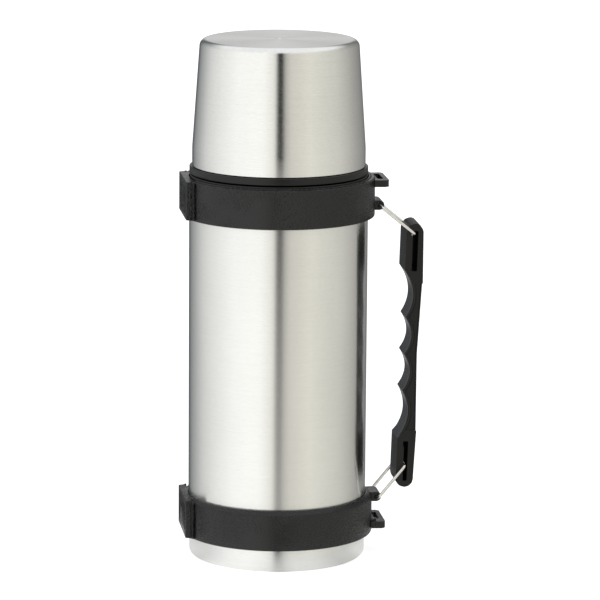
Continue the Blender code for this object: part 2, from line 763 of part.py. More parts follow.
def link(name, length, bore_z, down):
    """Closed loop of wire through an ear and a slot of the handle, turning on the ear's bore."""
    leg_y = handle_w / 2 + link_side_play + wire_r
    corners = box_outline(0, length, -leg_y, leg_y, bend_r, bend_steps)
    curve = bpy.data.curves.new(name, "CURVE")
    curve.dimensions = "3D"
    curve.bevel_depth = wire_r * MM
    curve.bevel_resolution = 1
    line = curve.splines.new("POLY")
    line.points.add(len(corners) - 1)
    for point, (x, y) in zip(line.points, corners):
        point.co = (x * MM, y * MM, 0, 1)
    line.use_cyclic_u = True
    curve.materials.append(wire_steel())
    made = bpy.data.objects.new(name, curve)
    made.location = (ear_bore_x * MM, 0, bore_z * MM)
    made.rotation_euler = (0, radians(down), 0)
    bpy.context.collection.objects.link(made)
    return made


def handle_levels():
    """Bottom, top and the ends of the finger grip, along the slots' line from the lower pin."""
    bottom = (lower_band_z + band_h + handle_end_gap_low - lower_pin[1]) / cos(handle_lean)
    top = (upper_band_z - handle_end_gap_top - lower_pin[1]) / cos(handle_lean)
    return bottom, top, bottom + lower_block_l, top - upper_block_l


def finger_scallop(low, high, start_n, end_n):
    """Inner face of the grip between two peaks: two parabolas that meet in the valley.

    Between unequal peaks the valley lies a little nearer the lower one.
    """
    share = 0.5
    if start_n != end_n:
        share += valley_shift if start_n < end_n else -valley_shift
    bottom = low + (high - low) * share
    points = []
    for i in range(1, 2 * finger_steps):
        at = low + (high - low) * i / (2 * finger_steps)
        side, peak = (bottom - low, start_n) if at < bottom else (high - bottom, end_n)
        points.append((finger_valley - (finger_valley - peak) * ((at - bottom) / side) ** 2, at))
    return points


def handle_outline():
    bottom, top, grip_low, grip_high = handle_levels()
    middle = (grip_low + grip_high) / 2
    peaks = [(grip_low, -handle_front)]
    peaks += [(middle + i * finger_pitch, -finger_peak) for i in (-1, 0, 1)]
    peaks += [(grip_high, -handle_front)]
    r = handle_corner_r
    back = handle_back
    front = -handle_front
    crest = back + handle_flare
    outline = [(crest, grip_low + lower_flare_up), (back - handle_waist, middle),
               (crest, grip_high - upper_flare_down), (back, top - handle_top_drop)]
    outline += [(back - r / 4, top - handle_top_drop / 2), (back - r / 2, top - r / 4)]
    outline += arc((front + r, top - r), r, 90, 180, handle_corner_steps)
    down = []
    for (low, low_n), (high, high_n) in zip(peaks, peaks[1:]):
        down.append((low_n, low))
        down += finger_scallop(low, high, low_n, high_n)
    down.append((front, grip_high))
    outline += down[::-1]
    outline += arc((front + r, bottom + r), r, 180, 270, handle_corner_steps)
    outline += arc((back - r, bottom + r), r, 270, 360, handle_corner_steps)
    return outline


def slot_cutter(name, low, middle, width, place):
    outline = box_outline(middle - width / 2, middle + width / 2, low, low + slot_l)
    mesh = prism_mesh(outline, -handle_w, handle_w, "Y")
    return add_object(name, mesh, black_plastic(), place, handle_lean)


def handle():
    """Finger grip with an end block at each end, slotted for the links; it turns on the fold pivot."""
    bottom, top, _, _ = handle_levels()
    lean_cos = cos(handle_lean)
    lean_sin = sin(handle_lean)
    out = fold_pivot[0] - lower_pin[0]
    up = fold_pivot[1] - lower_pin[1]
    pivot_n = out * lean_cos - up * lean_sin
    pivot_s = out * lean_sin + up * lean_cos
    outline = [(n - pivot_n, s - pivot_s) for n, s in handle_outline()]
    place = (fold_pivot[0], 0, fold_pivot[1])
    mesh = prism_mesh(outline, -handle_w / 2, handle_w / 2, "Y")
    made = add_object("handle", mesh, black_plastic(), place, handle_lean, 50)
    edge = made.modifiers.new("edges", "BEVEL")
    edge.width = handle_edge * MM
    edge.segments = 1
    edge.limit_method = "ANGLE"
    edge.angle_limit = radians(60)
    play = 2 * (wire_r + PIN_PLAY)
    slots = (("upper_slot_cut", top - upper_slot_in - slot_l, upper_slot_bias, play + upper_slot_drift),
             ("lower_slot_cut", bottom + lower_slot_in, lower_slot_bias, play + lower_slot_drift))
    for name, low, bias, width in slots:
        boolean(made, slot_cutter(name, low - pivot_s, bias - pivot_n, width, place), "DIFFERENCE")
    return made


def main():
    clear_scene()
    for make in (outer_shell, base_shell, jacket_floor, getter, inner_vessel, radiation_foil, neck_collar,
                 stopper_body, stopper_foam, stopper_base, stopper_gasket, push_button, button_spring,
                 valve_stem, valve_seal, cup_shell, cup_liner, cup_gasket, handle):
        make()
    band("lower_band", lower_band_z, lower_band_z + lower_tab_up, lower_ear_z, band_slope)
    band("upper_band", upper_band_z, body_top_z - upper_tab_down, upper_ear_z, 0)
    clasp("lower_clasp", lower_band_z)
    clasp("upper_clasp", upper_band_z)
    link("upper_link", upper_link_l, upper_ear_z, upper_link_down)
    link("lower_link", lower_link_l, lower_ear_z, -lower_link_up)


main()
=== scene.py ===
"""Looks of the steel vacuum flask: finishes, fine meshes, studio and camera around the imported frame.

Shapes are given in millimetres and made in metres. The flask stands on z = 0 with its handle on +X.
"""
import json
from math import atan2, cos, degrees, pi, radians, sin, tan
import bmesh
import bpy
from mathutils import Matrix, Vector


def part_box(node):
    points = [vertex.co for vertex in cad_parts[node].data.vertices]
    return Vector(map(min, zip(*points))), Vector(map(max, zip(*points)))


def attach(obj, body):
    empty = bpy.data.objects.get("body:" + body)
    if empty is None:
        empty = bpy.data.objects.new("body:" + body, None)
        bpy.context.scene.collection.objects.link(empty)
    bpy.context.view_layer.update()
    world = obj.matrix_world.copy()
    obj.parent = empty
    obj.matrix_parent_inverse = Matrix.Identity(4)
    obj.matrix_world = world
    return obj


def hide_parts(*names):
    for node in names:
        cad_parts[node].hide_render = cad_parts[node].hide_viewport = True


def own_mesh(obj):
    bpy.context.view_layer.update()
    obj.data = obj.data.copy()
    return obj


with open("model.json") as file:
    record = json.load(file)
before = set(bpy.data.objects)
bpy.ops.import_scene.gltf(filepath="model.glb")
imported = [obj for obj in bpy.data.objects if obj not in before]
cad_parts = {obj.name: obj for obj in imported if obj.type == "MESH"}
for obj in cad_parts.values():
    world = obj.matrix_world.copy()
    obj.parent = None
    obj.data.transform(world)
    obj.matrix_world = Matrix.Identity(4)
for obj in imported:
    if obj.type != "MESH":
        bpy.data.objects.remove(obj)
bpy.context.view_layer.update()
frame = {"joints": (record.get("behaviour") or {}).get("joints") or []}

MM = 0.001
ROUND_STEPS = 160            # facets round the large turned pieces
FINE_STEPS = 192             # facets round the steel walls
GAP = 0.3                    # between pieces that fit together
JOINTS = {joint["name"]: joint for joint in frame["joints"]}


def span(node):
    """Lowest and highest corner of a CAD node, in millimetres."""
    low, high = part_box(node)
    return [value / MM for value in low], [value / MM for value in high]


# ---------------------------------------------------------------- sizes read from the frame
body_low, body_high = span("outer_shell")
base_high = span("base_shell")[1]
cup_low, cup_high = span("cup_shell")
liner_low, liner_high = span("cup_liner")
lower_low, lower_high = span("lower_band")
upper_low, upper_high = span("upper_band")
collar_high = span("neck_collar")[1]
plug_low, plug_high = span("stopper_body")
button_low, button_high = span("push_button")
handle_high = span("handle")[1]
body_r = body_high[0]
band_r = upper_high[1]

# ---------------------------------------------------------------- named sizes, in millimetres
NECK_R = 27.8                # outer neck, under the collar
SHOULDER_Z = upper_high[2] - 7.5     # where the wall turns in
NECK_LOW = SHOULDER_Z + 8            # where the shoulder meets the neck
SHEET = 0.6                  # thickness of the steel sheet
COLLAR_R = body_r - 7.2
CUP_TAPER = 3.8              # loss of radius up the cup
CUP_STRAIGHT = cup_low[2] + 10       # top of the cup's straight part
CUP_SHOULDER = cup_high[2] - 5.6     # where the taper ends
THREAD_LEAD = 12.0
THREAD_SWEEP = 110.0         # degrees of each ridge
THREAD_DEPTH = 1.1
THREAD_START_CUP = 223.6
THREAD_START_NECK = 241.0
BAND_H = 22.4
BAND_BORE = body_r + GAP
CLASP_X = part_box("upper_clasp")[0][0] / MM
CLASP_HALF_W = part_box("upper_clasp")[1][1] / MM
CLASP_LAP = 3.4              # clasp over each end of its band
CLASP_SHORT = 0.5            # clasp shorter than its band at each end
TAB_REACH = upper_high[0]
EAR_X = JOINTS["handle_fold"]["pos_m"][0] / MM
UPPER_EAR_Z = JOINTS["handle_fold"]["pos_m"][2] / MM
LOWER_EAR_Z = JOINTS["lower_wire_follow"]["pos_m"][2] / MM
EAR_R = 2.7
WIRE_R = 0.85
UPPER_LINK = (25.44, 39.26)          # length of the wire loop and degrees that it hangs down from level
LOWER_LINK = (24.37, -50.5)
UPPER_PIN = (EAR_X + UPPER_LINK[0] * cos(radians(UPPER_LINK[1])),
             UPPER_EAR_Z - UPPER_LINK[0] * sin(radians(UPPER_LINK[1])))
LOWER_PIN = (EAR_X + LOWER_LINK[0] * cos(radians(LOWER_LINK[1])),
             LOWER_EAR_Z - LOWER_LINK[0] * sin(radians(LOWER_LINK[1])))
LEAN = atan2(UPPER_PIN[0] - LOWER_PIN[0], UPPER_PIN[1] - LOWER_PIN[1])
GRIP_HALF_W = handle_high[1]
GRIP_BOTTOM = (lower_high[2] + 2.7 - LOWER_PIN[1]) / cos(LEAN)
GRIP_TOP = (upper_low[2] - 3.9 - LOWER_PIN[1]) / cos(LEAN)
GRIP_LOW = GRIP_BOTTOM + 28.5        # ends of the fingers' part
GRIP_HIGH = GRIP_TOP - 27.6
LOWER_STEP = GRIP_LOW + 4.4          # where the end blocks' side faces stand out
UPPER_STEP = GRIP_HIGH - 7.6
FRONT_N = -4.9                       # n is measured outward from the slots' line
BACK_N = 4.7
CREST = 0.9                          # swell of the outer side at both steps
VALLEY_N = 0.3
PEAK_N = -3.4
FINGER_PITCH = 21
FINGER_STEPS = 10
GRIP_SMOOTH = 40.0                   # degrees between faces that shade as one
BLOCK_OVER = 0.03                    # end blocks stand this far outside the grip's outline
SLOT_L = 22.5
# lower end, middle and width of each wire slot
GRIP_SLOTS = ((GRIP_TOP - 5.3 - SLOT_L, 0.31, 3.1), (GRIP_BOTTOM + 3.5, 0.13, 2.31))

# ---------------------------------------------------------------- camera and studio
VIEW_AZ = radians(7)         # the front view's side, from -Y
VIEW_FAR = 2.2385            # metres
VIEW_UP = 0.5745
VIEW_DOWN = 10.86            # degrees
VIEW_ROLL = 0.37
STUDIO_POWER = 1.05
FLOOR_R = 6000.0
NEAR_FLOOR_R = 92.0
# (azimuth, value) round the studio, in degrees from VIEW_AZ and positive to the right:
# colours of the wall panels, glow of the floor near the flask, and the dark gap between two panels
PANELS = [(-180, (207, 207, 207)), (-174, (170, 170, 171)), (-168, (84, 85, 87)), (-160, (96, 98, 101)),
          (-150, (136, 138, 140)), (-131, (172, 174, 174)), (-115, (204, 205, 204)), (-102, (219, 220, 219)),
          (-85, (233, 234, 233)), (-60, (250, 250, 249)), (-36, (255, 255, 253)), (-22, (253, 253, 250)),
          (-12, (238, 237, 233)), (0, (222, 220, 215)), (12, (203, 201, 194)), (19, (207, 205, 197)),
          (43, (221, 219, 210)), (65, (211, 210, 202)), (90, (198, 197, 191)), (107, (182, 180, 175)),
          (121, (166, 165, 161)), (137, (150, 149, 147)), (157, (128, 128, 128)), (168, (100, 100, 101)),
          (174, (170, 170, 171)), (180, (207, 207, 207))]
NEAR_GLOW = [(-180, 0.5), (-90, 0.75), (-66, 0.62), (-40, 0.96), (-25, 1.0), (-10, 0.92), (-5, 0.82),
             (0, 0.52), (4, 0.52), (8, 0.66), (14, 0.76), (29, 0.73), (52, 0.49), (71, 0.57), (85, 0.8),
             (180, 0.5)]
GAP_STREAK = [(-9, 1.0), (-5, 0.85), (-2.5, 0.25), (-0.5, 0.0), (4, 0.0), (6, 0.3), (10, 0.75), (16, 1.0)]
CEILING = (0.85, 0.86, 0.88)


# ---------------------------------------------------------------- shader maths
class Wire:
    """A number that flows through a node tree. Sums and products of wires add Math nodes."""

    def __init__(self, nodes, socket):
        self.nodes = nodes
        self.socket = socket

    def maths(self, operation, *values):
        made = self.nodes.node("ShaderNodeMath", {"operation": operation}, dict(enumerate(values)))
        return Wire(self.nodes, made.outputs[0])

    def __add__(self, other):
        return self.maths("ADD", self, other)

    def __radd__(self, other):
        return self.maths("ADD", other, self)

    def __sub__(self, other):
        return self.maths("SUBTRACT", self, other)

    def __rsub__(self, other):
        return self.maths("SUBTRACT", other, self)

    def __mul__(self, other):
        return self.maths("MULTIPLY", self, other)

    def __rmul__(self, other):
        return self.maths("MULTIPLY", other, self)

    def __truediv__(self, other):
        return self.maths("DIVIDE", self, other)

    def __rtruediv__(self, other):
        return self.maths("DIVIDE", other, self)

    def __pow__(self, other):
        return self.maths("POWER", self, other)

    def ease(self, start, end):
        """0 before start, 1 past end, smooth between them."""
        made = self.nodes.node("ShaderNodeMapRange", {"interpolation_type": "SMOOTHSTEP"},
                               {"Value": self, "From Min": start, "From Max": end})
        return Wire(self.nodes, made.outputs["Result"])


class Nodes:
    """A node tree under construction."""

    def __init__(self, owner):
        owner.use_nodes = True
        self.tree = owner.node_tree
        self.tree.nodes.clear()

    def node(self, kind, settings=None, sockets=None):
        made = self.tree.nodes.new(kind)
        for key, value in (settings or {}).items():
            if key == "stops":
                fill_ramp(made.color_ramp, value)
            else:
                setattr(made, key, value)
        for key, value in (sockets or {}).items():
            self.feed(made.inputs[key], value)
        return made

    def feed(self, socket, value):
        if isinstance(value, Wire):
            self.tree.links.new(value.socket, socket)
        elif isinstance(value, bpy.types.NodeSocket):
            self.tree.links.new(value, socket)
        elif isinstance(value, tuple) and len(value) == 3 and socket.type == "RGBA":
            socket.default_value = (*value, 1.0)
        else:
            socket.default_value = value

    def tint(self, factor, first, second, blend="MIX"):
        made = self.node("ShaderNodeMix", {"data_type": "RGBA", "blend_type": blend},
                         {0: factor, 6: first, 7: second})
        return made.outputs[2]

    def round_room(self, right, toward, stops):
        """Colour by the azimuth of a direction, from its parts to the right and towards VIEW_AZ."""
        around = right.maths("ARCTAN2", right, toward) / (2 * pi) + 0.5
        ramp = {"stops": [(azimuth / 360 + 0.5, colour) for azimuth, colour in stops]}
        return self.node("ShaderNodeValToRGB", ramp, {"Fac": around}).outputs[0]


class Finish(Nodes):
    """A material under construction."""

    def __init__(self, name, **constants):
        self.material = bpy.data.materials.new(name)
        super().__init__(self.material)
        self.shader = self.node("ShaderNodeBsdfPrincipled", {}, constants)
        self.node("ShaderNodeOutputMaterial", {}, {"Surface": self.shader.outputs[0]})

    def place(self):
        """Position on the piece as three wires, in metres."""
        where = self.node("ShaderNodeTexCoord")
        split = self.node("ShaderNodeSeparateXYZ", {}, {"Vector": where.outputs["Object"]})
        return [Wire(self, split.outputs[i]) for i in range(3)]

    def vector(self, x, y, z):
        return self.node("ShaderNodeCombineXYZ", {}, {"X": x, "Y": y, "Z": z}).outputs[0]

    def noise(self, vector, scale, detail=2.0, roughness=0.5):
        made = self.node("ShaderNodeTexNoise", {},
                         {"Vector": vector, "Scale": scale, "Detail": detail, "Roughness": roughness})
        return Wire(self, made.outputs[0])

    def cells(self, vector, scale):
        made = self.node("ShaderNodeTexVoronoi", {"feature": "F1"}, {"Vector": vector, "Scale": scale})
        return Wire(self, made.outputs["Distance"])

    def bump(self, height, strength, distance, below=None):
        sockets = {"Height": height, "Strength": strength, "Distance": distance}
        if below is not None:
            sockets["Normal"] = below
        return self.node("ShaderNodeBump", {}, sockets).outputs[0]

    def set(self, **links):
        for key, value in links.items():
            self.feed(self.shader.inputs[key.replace("_", " ")], value)
        return self.material


def fill_ramp(ramp, stops):
    """Sets a colour ramp from (position, colour) or (position, grey level)."""
    while len(ramp.elements) > 1:
        ramp.elements.remove(ramp.elements[-1])
    ramp.elements[0].position = stops[0][0]
    for i, (position, colour) in enumerate(stops):
        stop = ramp.elements.new(position) if i else ramp.elements[0]
        stop.color = (*(colour if isinstance(colour, tuple) else (colour,) * 3), 1.0)


def screen(*values):
    """Scene-linear colour from 0 to 255 display values."""
    linear = []
    for value in values:
        share = value / 255
        linear.append(share / 12.92 if share <= 0.04045 else ((share + 0.055) / 1.055) ** 2.4)
    return tuple(linear) if len(linear) == 3 else tuple(linear * 3)


# ---------------------------------------------------------------- finishes
def lathe_brushed(name, colour, dark, roughness, depth):
    """Steel brushed on a lathe: fine rings round the axis on the walls and on flat ends."""
    finish = Finish(name, Metallic=1.0, Anisotropic=0.95, **{"Anisotropic Rotation": 0.25})
    x, y, z = finish.place()
    along = (x * x + y * y) ** 0.5 + z
    hair = finish.noise(finish.vector(x * 420, y * 420, along * 2600), 1.0, 3.0, 0.7)
    rings = finish.noise(finish.vector(x * 30, y * 30, along * 1300), 1.0, 2.0)
    cloud = finish.noise(finish.vector(x, y, z * 0.5), 30.0, 3.0)
    worn = hair * 0.5 + rings * 0.12 + cloud * 0.38
    finish.set(Base_Color=finish.tint(worn.ease(0.3, 0.7), dark, colour),
               Roughness=roughness + (hair - 0.5) * 0.16 + (cloud - 0.5) * 0.04,
               Normal=finish.bump(hair * 0.8 + rings * 0.2, 0.2, depth))
    return finish.material


def moulded_plastic(name, colour, light, roughness, grain=0.35, pebble=0.0, ior=1.45):
    """Spark-grained moulding: fine pits, a little cloudiness and rubbed spots, over a pebbled hide grain."""
    finish = Finish(name, IOR=ior)
    x, y, z = finish.place()
    where = finish.vector(x, y, z)
    pits = finish.cells(where, 2600.0)
    fine = finish.noise(where, 5200.0, 2.0, 0.7)
    cloud = finish.noise(where, 60.0, 4.0, 0.6)
    rub = finish.noise(where, 210.0, 5.0, 0.7).ease(0.55, 0.75)
    hide = finish.cells(where, 1150.0).ease(0.15, 0.75)
    patch = finish.noise(where, 34.0, 2.0).ease(0.35, 0.65)
    grained = finish.bump(pits * 0.6 + fine * 0.4, grain, 0.00006)
    finish.set(Base_Color=finish.tint(cloud.ease(0.25, 0.8) * 0.6 + fine * 0.4, colour, light),
               Roughness=roughness + (cloud - 0.5) * 0.12 - rub * 0.06 + (pits - 0.3) * 0.1,
               Normal=finish.bump(hide * patch, pebble, 0.0003, grained))
    return finish.material


def drawn_wire(name):
    finish = Finish(name, Metallic=1.0)
    x, y, z = finish.place()
    scratch = finish.noise(finish.vector(x * 0.4, y * 2.2, z * 0.4), 2400.0, 3.0, 0.65)
    cloud = finish.noise(finish.vector(x, y, z), 300.0, 3.0)
    finish.set(Base_Color=finish.tint(cloud.ease(0.3, 0.75), screen(244, 242, 238), screen(255, 254, 251)),
               Roughness=0.07 + scratch * 0.1,
               Normal=finish.bump(scratch, 0.12, 0.00003))
    return finish.material


def soft_silicone(name, colour, shade):
    finish = Finish(name, IOR=1.42)
    x, y, z = finish.place()
    where = finish.vector(x, y, z)
    cloud = finish.noise(where, 120.0, 4.0)
    dust = finish.noise(where, 3000.0, 2.0)
    finish.set(Base_Color=finish.tint(cloud, shade, colour), Roughness=0.55 + (cloud - 0.5) * 0.15,
               Normal=finish.bump(dust, 0.15, 0.00004))
    return finish.material


def spun_steel(name):
    """Unpolished drawn steel of the hidden shells."""
    finish = Finish(name, Metallic=1.0)
    x, y, z = finish.place()
    along = (x * x + y * y) ** 0.5 + z
    rings = finish.noise(finish.vector(x * 12, y * 12, along * 1500), 1.0, 3.0)
    stain = finish.noise(finish.vector(x, y, z), 45.0, 5.0, 0.65)
    finish.set(Base_Color=finish.tint(stain.ease(0.3, 0.7), screen(168, 166, 160), screen(206, 205, 200)),
               Roughness=0.3 + rings * 0.15 + stain * 0.08, Normal=finish.bump(rings, 0.3, 0.00006))
    return finish.material


def crumpled_foil(name):
    finish = Finish(name, Metallic=1.0)
    x, y, z = finish.place()
    crease = finish.cells(finish.vector(x, y, z), 170.0)
    fine = finish.noise(finish.vector(x, y, z), 900.0, 3.0)
    finish.set(Base_Color=finish.tint(fine, screen(205, 207, 210), screen(236, 237, 238)),
               Roughness=0.12 + fine * 0.15, Normal=finish.bump(crease, 0.5, 0.0006))
    return finish.material


def open_foam(name):
    finish = Finish(name)
    where = finish.vector(*finish.place())
    holes = finish.cells(where, 1400.0)
    # The colour darkens in the pits of the cells: painted shade in the pores.
    finish.set(Base_Color=finish.tint(holes.ease(0.1, 0.5), screen(188, 182, 164), screen(238, 234, 220)),
               Roughness=0.85 + holes * 0.1, Normal=finish.bump(holes, 0.6, 0.0003))
    return finish.material


steel = lathe_brushed("lathe brushed steel", screen(252, 252, 249), screen(241, 241, 238), 0.23, 0.00002)
cup_steel = lathe_brushed("cup brushed steel", screen(252, 252, 249), screen(240, 240, 237), 0.175, 0.00002)
inner_steel = spun_steel("spun inner steel")
band_plastic = moulded_plastic("grained band plastic", screen(12), screen(19), 0.24, 0.5, 1.0, ior=1.5)
ring_plastic = moulded_plastic("satin ring plastic", screen(13), screen(18), 0.3, 0.2)
grip_plastic = moulded_plastic("grained grip plastic", screen(11), screen(17), 0.4)
palm_plastic = moulded_plastic("polished finger plastic", screen(16), screen(21), 0.17, 0.05, ior=2.1)
# Near-black rough plastic for the walls of the wire slots: painted shade inside the slots.
slot_shade_plastic = moulded_plastic("slot plastic painted dark for shade", screen(4), screen(7), 0.85, ior=1.2)
stopper_plastic = moulded_plastic("grained stopper plastic", screen(30), screen(40), 0.42)
button_plastic = moulded_plastic("grey button plastic", screen(104, 106, 110), screen(120, 122, 126), 0.4)
wire_metal = drawn_wire("drawn bright wire")
white_silicone = soft_silicone("milky silicone", screen(224, 222, 216), screen(206, 204, 196))
foil = crumpled_foil("crumpled bright foil")
foam = open_foam("open cell foam")


# ---------------------------------------------------------------- mesh tools
def arc(centre, radius, start, end, steps):
    """Points of an arc in a plane, angles in degrees."""
    angles = [radians(start + (end - start) * i / steps) for i in range(steps + 1)]
    return [(centre[0] + radius * cos(a), centre[1] + radius * sin(a)) for a in angles]


def rounded(corners, closed=True, steps=5):
    """Turns corners (a, b, radius) into an outline with an arc at each corner that has a radius."""
    points = []
    count = len(corners)
    for i, (a, b, radius) in enumerate(corners):
        here = Vector((a, b))
        if radius <= 0 or (not closed and i in (0, count - 1)):
            points.append((a, b))
            continue
        back = Vector(corners[i - 1][:2]) - here
        ahead = Vector(corners[(i + 1) % count][:2]) - here
        turn = back.angle(ahead)
        reach = min(radius / tan(turn / 2), 0.49 * back.length, 0.49 * ahead.length)
        real = reach * tan(turn / 2)
        middle = here + (back.normalized() + ahead.normalized()).normalized() * (real / sin(turn / 2))
        first = here + back.normalized() * reach - middle
        last = here + ahead.normalized() * reach - middle
        swing = first.angle_signed(last)
        for j in range(steps + 1):
            angle = -swing * j / steps
            points.append((middle.x + first.x * cos(angle) - first.y * sin(angle),
                           middle.y + first.x * sin(angle) + first.y * cos(angle)))
    return points


def finish_object(name, bm, material, smooth=32.0):
    bmesh.ops.recalc_face_normals(bm, faces=bm.faces)
    bmesh.ops.scale(bm, vec=(MM, MM, MM), verts=bm.verts)
    mesh = bpy.data.meshes.new(name)
    bm.to_mesh(mesh)
    bm.free()
    mesh.materials.append(material)
    mesh.shade_smooth()
    mesh.set_sharp_from_angle(angle=radians(smooth))
    made = bpy.data.objects.new(name, mesh)
    bpy.context.collection.objects.link(made)
    return made


def lathe(name, profile, material, steps=ROUND_STEPS, start=0.0, sweep=360.0, smooth=32.0):
    """Turns an (r, z) profile about Z; ends on the axis become poles, and a part turn gets end caps."""
    whole = sweep >= 360
    on_axis = profile[0][0] == 0 and profile[-1][0] == 0
    count = steps if whole else steps + 1
    bm = bmesh.new()
    columns = []
    poles = {i: bm.verts.new((0, 0, profile[i][1])) for i in (0, len(profile) - 1) if on_axis}
    for k in range(count):
        angle = radians(start + sweep * k / steps)
        columns.append([poles.get(i) or bm.verts.new((r * cos(angle), r * sin(angle), z))
                        for i, (r, z) in enumerate(profile)])
    sides = len(profile) - 1 if on_axis else len(profile)
    for k in range(count if whole else count - 1):
        here = columns[k]
        there = columns[(k + 1) % count]
        for i in range(sides):
            j = (i + 1) % len(profile)
            ring = [here[i], here[j], there[j], there[i]]
            bm.faces.new(dict.fromkeys(ring))
    if not whole:
        bm.faces.new(columns[0])
        bm.faces.new(columns[-1])
    return finish_object(name, bm, material, smooth)


def extruded(name, outline, low, high, material, edge=0.0, along="Z", smooth=32.0, edge_steps=3):
    """Extrudes an outline along Z, or (x, z) along Y, and rounds the rims of both ends."""
    bm = bmesh.new()
    rims = []
    for level in (low, high):
        rims.append([bm.verts.new((a, b, level) if along == "Z" else (a, level, b)) for a, b in outline])
    caps = [bm.faces.new(rim) for rim in rims]
    for i in range(len(outline)):
        j = (i + 1) % len(outline)
        bm.faces.new((rims[0][i], rims[0][j], rims[1][j], rims[1][i]))
    if edge > 0:
        edges = list({e for cap in caps for e in cap.edges})
        bmesh.ops.bevel(bm, geom=edges, offset=edge, segments=edge_steps, profile=0.5, affect="EDGES",
                        clamp_overlap=True)
    return finish_object(name, bm, material, smooth)


def join_rings(bm, rings):
    """Closed skin over rings of vertices with equal counts, with a cap on the first and the last."""
    bm.faces.new(rings[0])
    bm.faces.new(rings[-1])
    count = len(rings[0])
    for here, there in zip(rings, rings[1:]):
        for i in range(count):
            j = (i + 1) % count
            bm.faces.new((here[i], here[j], there[j], there[i]))


def lofted(name, rings, material, smooth):
    """Closed form through outlines of (x, z), each at its own y."""
    bm = bmesh.new()
    join_rings(bm, [[bm.verts.new((x, y, z)) for x, z in outline] for y, outline in rings])
    return finish_object(name, bm, material, smooth)


def take_shape(made):
    """Applies the piece's modifiers to its mesh."""
    graph = bpy.context.evaluated_depsgraph_get()
    shaped = bpy.data.meshes.new_from_object(made.evaluated_get(graph), depsgraph=graph)
    made.modifiers.clear()
    made.data = shaped


def combine(made, operation, *others):
    """Joins or cuts solids exactly, and removes what was used."""
    for other in others:
        step = made.modifiers.new(operation, "BOOLEAN")
        step.operation = operation
        step.solver = "EXACT"
        step.object = other
    bpy.context.view_layer.update()
    take_shape(made)
    for other in others:
        bpy.data.objects.remove(other, do_unlink=True)
    return made


def crisp(made, smooth=32.0):
    """Shading for a machined or moulded solid: flat faces stay flat beside their rounded edges."""
    made.data.shade_smooth()
    made.data.set_sharp_from_angle(angle=radians(smooth))
    even = made.modifiers.new("even shading", "WEIGHTED_NORMAL")
    even.keep_sharp = True
    even.weight = 80
    return made


def keep(made, body, node):
    """Rides on a body and stands for a CAD node, whose own mesh it hides."""
    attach(made, body)
    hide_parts(node)
    return made


# ---------------------------------------------------------------- steel body, base and cup
def steel_body():
    top = body_high[2]
    foot = body_low[2]
    profile = rounded([(body_r, foot, 0.2), (body_r, SHOULDER_Z + 6, 6), (NECK_R, NECK_LOW, 3),
                       (NECK_R, top, 0.2), (NECK_R - SHEET, top, 0.2), (NECK_R - SHEET, NECK_LOW - SHEET, 3.4),
                       (body_r - SHEET, SHOULDER_Z + 5.4, 5.4), (body_r - SHEET, foot, 0.2)])
    keep(lathe("steel_body", profile, steel, FINE_STEPS), "flask", "outer_shell")


def steel_base():
    """Pressed bottom with a stiffening ring, let into the body's wall."""
    r = base_high[0]
    step = body_low[2] - GAP
    inner = body_r - SHEET - GAP
    under = [(0, 0, 0), (35.5, 0, 0.6), (36, 0.5, 0.6), (40, 0.5, 0.6), (40.5, 0, 0.6), (r, 0, 3)]
    rim = base_high[2]
    wall = [(r, step, 0.2), (inner, step, 0.1), (inner, rim, 0.2), (inner - SHEET, rim, 0.2),
            (inner - SHEET, 1.6, 2.5), (0, 1.3, 0)]
    made = lathe("steel_base", rounded(under + wall, closed=False), steel, FINE_STEPS)
    keep(made, "flask", "base_shell")


def cup_radius(z):
    """Outer radius of the cup's tapering wall, carried on past its shoulder."""
    return cup_high[0] - CUP_TAPER * max((z - CUP_STRAIGHT) / (CUP_SHOULDER - CUP_STRAIGHT), 0)


def steel_cup():
    """Spun steel cup with a rounded top edge and the lathe's centre mark."""
    top = cup_high[2]
    foot = cup_low[2]
    wide = cup_high[0]
    narrow = cup_radius(top)
    outside = [(0, top - 0.25, 0), (1.1, top - 0.25, 0.3), (1.5, top, 0.3), (narrow, top, 4.0),
               (wide, CUP_STRAIGHT, 40), (wide, foot, 0.3)]
    inside = [(wide - SHEET, foot, 0.2), (wide - SHEET, CUP_STRAIGHT, 40), (narrow - SHEET, top - SHEET, 3.4),
              (0, top - SHEET, 0)]
    profile = rounded(outside + inside, closed=False, steps=8)
    keep(lathe("steel_cup", profile, cup_steel, FINE_STEPS), "cup", "cup_shell")


# ---------------------------------------------------------------- threads
def thread(name, root_r, depth, start_z, material, body):
    """Three ridges of a quick thread, run out at both ends; a negative depth points inwards."""
    let_in = 0.3 if depth > 0 else -0.3
    steps = 60
    bm = bmesh.new()
    for start in range(3):
        rings = []
        for i in range(steps + 1):
            turn = i / steps * THREAD_SWEEP / 360
            angle = 2 * pi * (turn + start / 3)
            fade = min(1.0, 6 * min(i, steps - i) / steps + 0.08)
            tip = root_r + depth * fade
            z = start_z + THREAD_LEAD * turn
            section = rounded([(root_r - let_in, -1.0, 0), (root_r, -1.0, 0.2), (tip, -0.6, 0.3),
                               (tip, 0.6, 0.3), (root_r, 1.0, 0.2), (root_r - let_in, 1.0, 0)], steps=3)
            rings.append([bm.verts.new((r * cos(angle), r * sin(angle), z + up)) for r, up in section])
        join_rings(bm, rings)
    made = finish_object(name, bm, material)
    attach(made, body)


